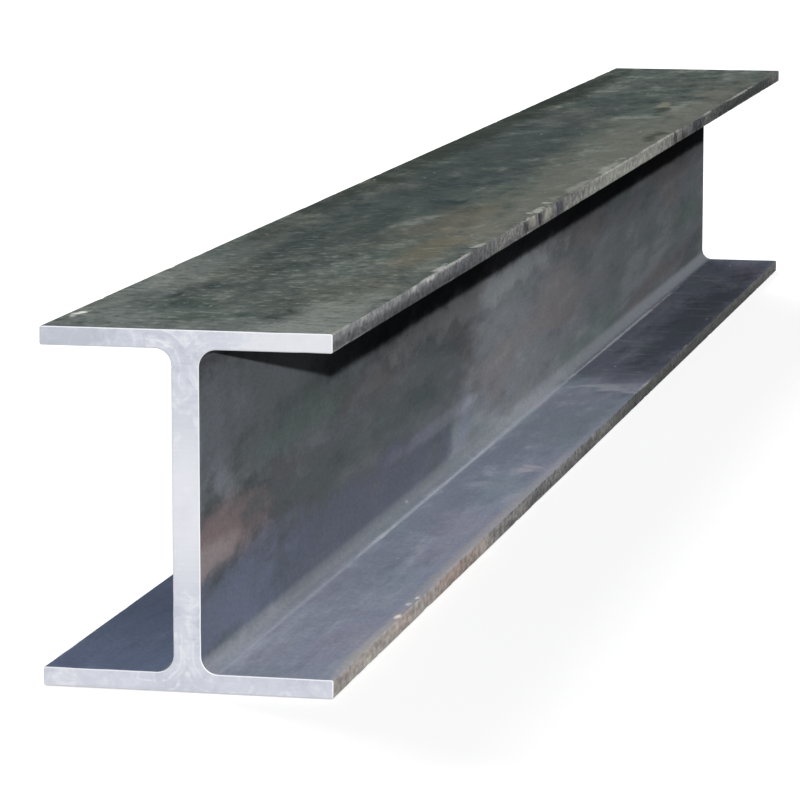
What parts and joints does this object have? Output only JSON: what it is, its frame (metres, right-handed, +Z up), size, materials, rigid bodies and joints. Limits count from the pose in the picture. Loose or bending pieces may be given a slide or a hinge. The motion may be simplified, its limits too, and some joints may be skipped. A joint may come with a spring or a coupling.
{
  "type": "steel h-beam",
  "caption": "Hot-rolled steel H-beam with wide parallel flanges, a thick web and filleted roots, sawn square at both ends, for columns, beams and supports.",
  "frame": {"origin": "middle of the bottom flange's underside, halfway along the bar", "axes": "+Y along the bar, with the sawn end that the picture shows facing -Y, +X across the flanges, +Z up from flange to flange"},
  "size_m": [0.254, 3, 0.31],
  "materials": {
    "rolled_steel": "matte"
  },
  "bodies": {
    "root": {"h_beam": "rolled_steel"}
  },
  "joints": []
}
